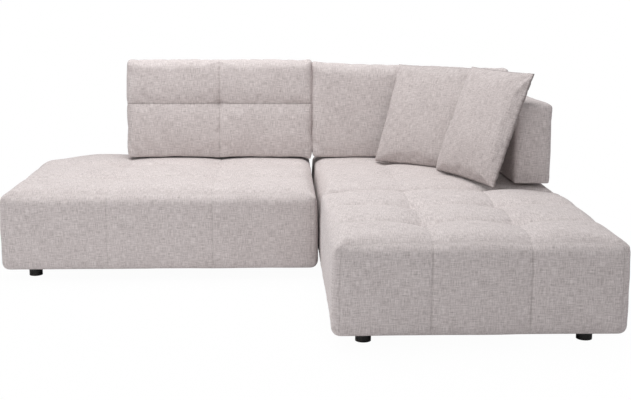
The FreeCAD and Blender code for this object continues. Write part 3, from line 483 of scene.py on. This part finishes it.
def back_cover(name, node, body, replaced, slope, seams, plump, seed, **form):
    """slope is how far the top leans rearwards, seams the places of the upright and the level
    seam or None, plump how far the front swells: by one minus the fourth power of the distance
    from the middle, each way. In form, ear is how far the top corners stand out, curve and foot
    the radii of the top and of the bottom, cloth_cap the most that the cloth may move, wide how
    far the left and right ends reach out, and fall how far the top sinks to the right."""
    ear, fall, wide = form.get("ear", 0.010), form.get("fall", 0), form.get("wide", (0, 0))
    curve, foot = form.get("curve", (0.022, 0.050, 0.034)), form.get("foot", (0.018, 0.016, 0.012))
    low, high = corners(node)
    far = high - low
    width, depth, height = far
    ups, levels = ((seams[0],), (seams[1],)) if seams else ((), ())
    xs = crowded(width, 0.013, (0, *ups, width), 0.0026, 0.010)
    ys = crowded(depth, 0.012, (0, depth), 0.004, 0.02)
    zs = crowded(height, 0.012, (0, *levels, height), 0.0026, 0.010)
    flat, quads, cloth = block_shell(xs, ys, zs)
    rise = (flat[:, 2:] / height) ** 0.5
    points, out = rounded(flat, far, np.array(foot) * (1 - rise) + np.array(curve) * rise)
    x, y, z = flat.T
    front, rear, up = np.clip(-out[:, 1], 0, 1), np.clip(out[:, 1], 0, 1), np.clip(out[:, 2], 0, 1)
    a, c = 2 * x / width - 1, 2 * z / height - 1
    swell = (1 - a**4) * (1 - c**4)
    push = plump * (swell - 0.35)
    if seams:
        pull, dx, dz, away = quilted_front(x, z, seams)
        push = push - pull
    share = points[:, 2] / height
    points[:, 1] -= push * front
    points[:, 1] += plump * 0.3 * (swell - 0.3) * rear
    points[:, 0] += out[:, 0] * 0.006 * ((1 - c**4) - 0.4) * (1 - front * 0.5)
    points[:, 2] += up * 0.005 * ((1 - a**4) - 0.5)
    pinch = bell(np.minimum(x, width - x), 0.03) * bell(height - z, 0.035)
    points[:, 0] += ear * pinch * np.sign(a) * 0.6
    points[:, 2] += ear * pinch * 0.9
    forward = (depth - points[:, 1]) / depth
    points[:, 1] += slope * share * forward
    points[:, 0] += np.where(a > 0, wide[1] * smooth(a, 0.5, 1), -wide[0] * smooth(-a, 0.5, 1))
    points[:, 2] -= fall * (a * 0.5 + 0.1) * smooth(share, 0.3, 1)
    wave = 0.0016 * ripple(points, 0.30, seed) + 0.0007 * ripple(points, 0.09, seed + 1)
    points += out * wave[:, None]
    seam_yarn_and_shade = np.zeros(len(flat))
    if seams:
        # The front lip hangs into the seat's channels: at the middle seam and at both ends.
        lip = np.exp(-z / 0.05) * np.clip(1 - y / 0.03, 0, 1) ** 2
        hang = 0.007 * bell(dx, 0.06) + 0.006 * bell(x, 0.05) + 0.016 * bell(width - x, 0.045)
        points[:, 2] -= lip * hang
        # The seams and the hollow round the tuft are painted darker: the thread's colour on the seams, and
        # painted shade in their grooves and in the tuft's hollow.
        seam_yarn_and_shade = np.maximum(0.25 * bell(dx, 0.003), 0.45 * bell(dz, 0.003)) * smooth(front, 0.4, 0.9)
        seam_yarn_and_shade = np.maximum(seam_yarn_and_shade, 0.55 * np.exp(-away / 0.012) * front)
    piece = surface(name, low + points, quads, cloth, seam_yarn_and_shade)
    held = np.clip(seam_yarn_and_shade * 5 + smooth(rear, 0.2, 0.6) + (z < 0.03), 0, 1)
    inflate(piece, held, 0.8, 0.010, form.get("cloth_cap", 0.005))
    dress(piece, cover_cloth)
    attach(piece, body)
    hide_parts(node, *replaced)
    return piece


quilting = (0.4875, 0.280)  # metres from the backrest's left end and from its bottom
back_cover(
    "backrest_upholstery", "wide_seat_backrest_cover", "backrest", ["wide_seat_backrest_foam"],
    0.078, quilting, 0.016, 11, wide=(0, 0.0045),
)
back_cover(
    "back_upholstery", "corner_seat_back_cover", "sofa", ["corner_seat_back_foam"],
    0.076, None, 0.014, 21, wide=(0.0045, 0), fall=0.035,
)
back_cover(
    "arm_upholstery", "corner_seat_side_cover", "sofa", ["corner_seat_side_foam"],
    0.0, None, 0.003, 31, ear=0.004, curve=(0.016, 0.016, 0.018), foot=(0.012, 0.012, 0.004), cloth_cap=0.002,
)

# %% [markdown]
# ## The scatter cushions
# Two square sheets are sewn together round their edge and stuffed with fibre. Away from the seam
# the sheets swell; between the corners the edge is drawn in, and at the corners it stays as ears.

# %% Pillows
STEPS = 84  # grid squares along each side of a cushion
DRAW = 0.016  # share by which the middle of each side is drawn in
SEAM = 0.0035  # half the thickness of the sewn edge


def pillow_cover(name, node, filling, yaw, lean, side, belly, back, seed):
    """On a square grid, u and v run from -1 to 1. The sheet stands (1-u^2)(1-v^2), to the power
    0.42, away from the middle plane: full in the middle and thin at the edge. The grid lines are
    equal steps of a sine's angle, so they crowd towards the edge."""
    low, high = corners(node)
    line = np.sin(np.linspace(-1, 1, STEPS + 1) * np.pi / 2 * 0.94) / math.sin(np.pi / 2 * 0.94)
    u, v = np.meshgrid(line, line, indexing="ij")
    puff = ((1 - u**2) * (1 - v**2)) ** 0.42
    px = side / 2 * (u - np.sign(u) * abs(u) * DRAW * (1 - v**2) * abs(u) ** 2)
    pz = side / 2 * (v - np.sign(v) * abs(v) * DRAW * (1 - u**2) * abs(v) ** 2)
    number = np.arange(u.size).reshape(u.shape)
    border = (abs(u) > 0.9999) | (abs(v) > 0.9999)
    spread = np.stack([px, 0 * px, pz], -1).reshape(-1, 3)
    crease = ripple(spread * [1, 1, 0.4], 0.09, seed) * 0.0007 + ripple(spread, 0.24, seed + 1) * 0.003
    crease = crease.reshape(u.shape) * puff
    sheets = []
    for way, thick, share in ((-1, belly, 1), (1, back, 0.5)):
        away = SEAM * (1 - 0.6 * border) + thick * puff + crease * share
        sheets.append(np.stack([px, way * away, pz], -1).reshape(-1, 3))
    second = np.where(border, number, number + u.size)
    sheets[0] = np.where(border.reshape(-1, 1), spread, sheets[0])
    points = np.concatenate(sheets)
    quads = []
    for index, flip in ((number, False), (second, True)):
        quad = [index[:-1, :-1], index[1:, :-1], index[1:, 1:], index[:-1, 1:]]
        quads.append(np.stack(quad[::-1] if flip else quad, -1).reshape(-1, 4))
    quads = np.concatenate(quads)
    cloth = points[quads][..., [0, 2]]
    used = np.unique(quads)
    remap = np.zeros(len(points), int)
    remap[used] = np.arange(len(used))
    points, quads = points[used], remap[quads]
    turn = Matrix.Rotation(math.radians(yaw), 3, "Z") @ Matrix.Rotation(-math.radians(lean), 3, "X")
    points = points @ np.array(turn).T
    points += (low + high) / 2 - (points.min(0) + points.max(0)) / 2
    sewn_edge = np.zeros(len(points))
    sewn_edge[remap[number[border]]] = 1
    # The sewn edge is painted darker: partly the thread's colour, partly painted shade that draws each
    # cushion's outline against the other.
    piece = surface(name, points, quads, cloth, sewn_edge * 0.7)
    inflate(piece, sewn_edge, 0.8, 0.012, 0.006)
    dress(piece, shaded_pillow_cloth)
    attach(piece, name.rsplit("_", 1)[0])
    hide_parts(node, filling)
    return piece


for pillow, yaw, lean, back, seed in (
    ("rear_pillow", -41.3, 23, 0.028, 41),
    ("front_pillow", -70.5, 20.5, 0.006, 51),
):
    names = [pillow + part for part in ("_upholstery", "_cover", "_filling")]
    pillow_cover(*names, yaw, lean, 0.538, 0.055, back, seed)

# %% [markdown]
# ## Feet, cloth underneath and the hidden frame
# The feet are turned from black plastic with a fine moulded grain. The frame is raw softwood, the
# straps and bolts are zinc plated steel, and a black felted cloth closes the bottom.

# %% Hard and hidden finishes
def plain(name, swatch, other, roughness, metallic=0.0, grain=2500, depth=0.0001, streak=(1, 1, 1)):
    """One noise, grain times a metre and stretched by streak, mixes two colours and also gives
    the height of the bump, depth metres at most."""
    material, tree, shader = finish(name)
    where = add(tree, "ShaderNodeTexCoord").outputs["Object"]
    stretch = add(tree, "ShaderNodeMapping", {"Scale": streak}, Vector=where).outputs["Vector"]
    speck = add(tree, "ShaderNodeTexNoise", {"Scale": grain, "Detail": 3.0}, Vector=stretch).outputs["Fac"]
    mix = add(tree, "ShaderNodeMix", {"data_type": "RGBA"}, Factor=speck)
    mix.inputs[6].default_value, mix.inputs[7].default_value = linear(swatch), linear(other)
    tree.links.new(mix.outputs[2], shader.inputs["Base Color"])
    bump = add(tree, "ShaderNodeBump", {"Strength": 0.3, "Distance": depth}, Height=speck)
    tree.links.new(bump.outputs["Normal"], shader.inputs["Normal"])
    shader.inputs["Roughness"].default_value = roughness
    shader.inputs["Metallic"].default_value = metallic
    return material


finishes = {
    # Raw boards: warm, dull, with long grain.
    "timber": plain("sawn_pine", "#C9A777", "#A9824F", 0.75, grain=40, depth=0.0004, streak=(1, 12, 12)),
    # A dull, dark, woven rubber strap.
    "webbing": plain("elastic_webbing", "#4A4643", "#2E2B29", 0.85, grain=900),
    # A black felt that shows almost no light.
    "dust_cloth": plain("felted_dust_cloth", "#161616", "#0C0C0C", 0.95, grain=1200, depth=0.0003),
    # Moulded feet: black, with a soft broad highlight.
    "foot_plastic": plain("moulded_black_plastic", "#0B0B0C", "#101011", 0.45, grain=2200, depth=0.00006),
    # Bright grey metal with a blurred reflection.
    "steel": plain("zinc_plated_steel", "#B9BBBE", "#A2A4A8", 0.38, 1.0, grain=300),
    # A dark painted plate, half matt.
    "ballast_steel": plain("painted_steel_plate", "#1B1C1E", "#232426", 0.5, grain=600),
    # Black rubber without shine.
    "grip_rubber": plain("grip_rubber", "#1A1A1A", "#222222", 0.8, grain=900, depth=0.0003),
    # Cream foam with open pores.
    "seat_foam": plain("open_foam", "#DCD2B4", "#C9BD9A", 0.95, grain=700, depth=0.0005),
}
print("finishes:", ", ".join(sorted(finishes)))

# %% Dust cloths
SAG = 0.0022  # how far the middle of a dust cloth hangs, in metres
for seat, body in (("wide_seat", "sofa"), ("corner_seat", "sofa"), ("ottoman", "ottoman")):
    low, high = corners(seat + "_dust_cover")
    far = high - low
    flat, quads, cloth = block_shell(*[np.linspace(0, far[k], 40 if k < 2 else 2) for k in range(3)])
    a, b = 2 * flat[:, 0] / far[0] - 1, 2 * flat[:, 1] / far[1] - 1
    creases = 0.0004 * ripple(flat, 0.12, 61) * (1 - a**4) * (1 - b**4)
    sag = -SAG * (1 - a**2) * (1 - b**2) + creases
    piece = surface(seat + "_dust_cloth", low + flat + sag[:, None] * [0, 0, 1], quads, cloth)
    dress(piece, finishes["dust_cloth"])
    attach(piece, body)
    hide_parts(seat + "_dust_cover")

# %% Finishes of the CAD pieces that stay
slots = {row["node"]: row["material_slot"] for row in frame["record"]["subparts"]}
left = [label for label, thing in frame["nodes"].items() if not thing.hide_render]
for label in left:
    dress(frame["nodes"][label], finishes[slots[label]])
print("CAD pieces that stay:", len(left))

# %% [markdown]
# ## Light
# A plain soft studio: a wide lamp overhead, a weaker one from the front left and an even world
# that is dim to the sofa and white to the camera.

# %% Lamps
def lamp(name, size, power, place, aim):
    """A round lamp of this width in metres and power in watts, turned towards aim."""
    data = bpy.data.lights.new(name, "AREA")
    data.shape, data.size, data.energy = "DISK", size, power
    thing = bpy.data.objects.new(name, data)
    thing.location = place
    thing.rotation_euler = (Vector(aim) - Vector(place)).to_track_quat("-Z", "Y").to_euler()
    bpy.context.scene.collection.objects.link(thing)
    print(name, power, "W")


lamp("overhead", 3.2, 98, (-0.5, 0.25, 3.5), (0.0, 0.0, 0.4))
lamp("front_fill", 3.0, 34, (-2.8, -3.9, 1.8), (0.0, 0.0, 0.3))

# %% World
world = bpy.data.worlds.new("studio_air")
bpy.context.scene.world = world
world.use_nodes = True
air = world.node_tree
air.nodes.clear()
seen = add(air, "ShaderNodeLightPath").outputs
larger = {"operation": "MAXIMUM"}
direct = add(air, "ShaderNodeMath", larger, n0=seen["Is Camera Ray"], n1=seen["Is Glossy Ray"]).outputs[0]
direct = add(air, "ShaderNodeMath", larger, n0=direct, n1=seen["Is Transmission Ray"]).outputs[0]
dim = add(air, "ShaderNodeBackground", {"Color": linear("#F4F4F6"), "Strength": 0.53}).outputs[0]
white = add(air, "ShaderNodeBackground", {"Color": (1, 1, 1, 1), "Strength": 1.0}).outputs[0]
mixed = add(air, "ShaderNodeMixShader", None, n0=direct, n1=dim, n2=white)
add(air, "ShaderNodeOutputWorld", None, Surface=mixed.outputs[0])
print("the world has", len(air.nodes), "nodes")

# %% [markdown]
# ## The white ground
# The ground glows plain white to the camera and is matt paper to all other light. Near the sofa a
# small share of the paper shows, which keeps the soft shadow; past 2.2 m it is all white.

# %% Floor
REACH = 15  # metres from the middle to the ground's edge
square = [(-REACH, -REACH, 0), (REACH, -REACH, 0), (REACH, REACH, 0), (-REACH, REACH, 0)]
floor = surface("studio_floor", np.array(square, float), np.array([[0, 1, 2, 3]]))
material, tree, shader = finish("white_studio_floor")
shader.inputs["Base Color"].default_value = linear("#EDEDEE")
shader.inputs["Roughness"].default_value = 0.9
glow = add(tree, "ShaderNodeEmission", {"Strength": 1.0}).outputs[0]
seen = add(tree, "ShaderNodeLightPath").outputs["Is Camera Ray"]
where = add(tree, "ShaderNodeTexCoord").outputs["Object"]
away = add(tree, "ShaderNodeVectorMath", {"operation": "LENGTH"}, n0=where).outputs["Value"]
fade = {"From Min": 0.9, "From Max": 2.2, "To Min": 0.97, "To Max": 1.0}
share = add(tree, "ShaderNodeMapRange", fade, Value=away).outputs[0]
most = add(tree, "ShaderNodeMath", {"operation": "MULTIPLY"}, n0=seen, n1=share).outputs[0]
mixed = add(tree, "ShaderNodeMixShader", None, n0=most, n1=shader.outputs[0], n2=glow)
tree.links.new(mixed.outputs[0], tree.nodes["Material Output"].inputs["Surface"])
dress(floor, material)
floor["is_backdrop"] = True

# %% [markdown]
# ## The camera
# It stands where the photographer's stood. Its place, its three angles and its focal length in
# pixels come from fitting the edges of the blocks to the photo, which is 631 pixels wide.

# %% Camera
SENSOR = 36  # millimetres
FOCAL, PICTURE = 1031.28, 631  # pixels
camera = bpy.data.objects.new("camera", bpy.data.cameras.new("camera"))
bpy.context.scene.collection.objects.link(camera)
bpy.context.scene.camera = camera
camera.data.sensor_width = SENSOR
camera.data.lens = FOCAL / PICTURE * SENSOR
pitch, yaw, roll = math.radians(10.87), math.radians(-2.22), math.radians(0.19)
forward = Vector((-math.sin(yaw) * math.cos(pitch), math.cos(yaw) * math.cos(pitch), -math.sin(pitch)))
right = Vector((math.cos(yaw), math.sin(yaw), 0))
above = right.cross(forward)
right, above = (
    right * math.cos(roll) + above * math.sin(roll),
    above * math.cos(roll) - right * math.sin(roll),
)
turn = Matrix((right, above, -forward)).transposed().to_4x4()
camera.matrix_world = Matrix.Translation((-0.0236, -4.6273, 1.2487)) @ turn
camera.data.clip_end = 100
print("lens", round(camera.data.lens, 2), "mm")

bpy.context.scene.view_settings.view_transform = "Standard"

# %% Finish
dressed_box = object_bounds()
for side, solid, dressed in zip(("low", "high"), cad_box, dressed_box):
    print(side, "corner moved by", [round((b - a) * 1000, 1) for a, b in zip(solid, dressed)], "mm")
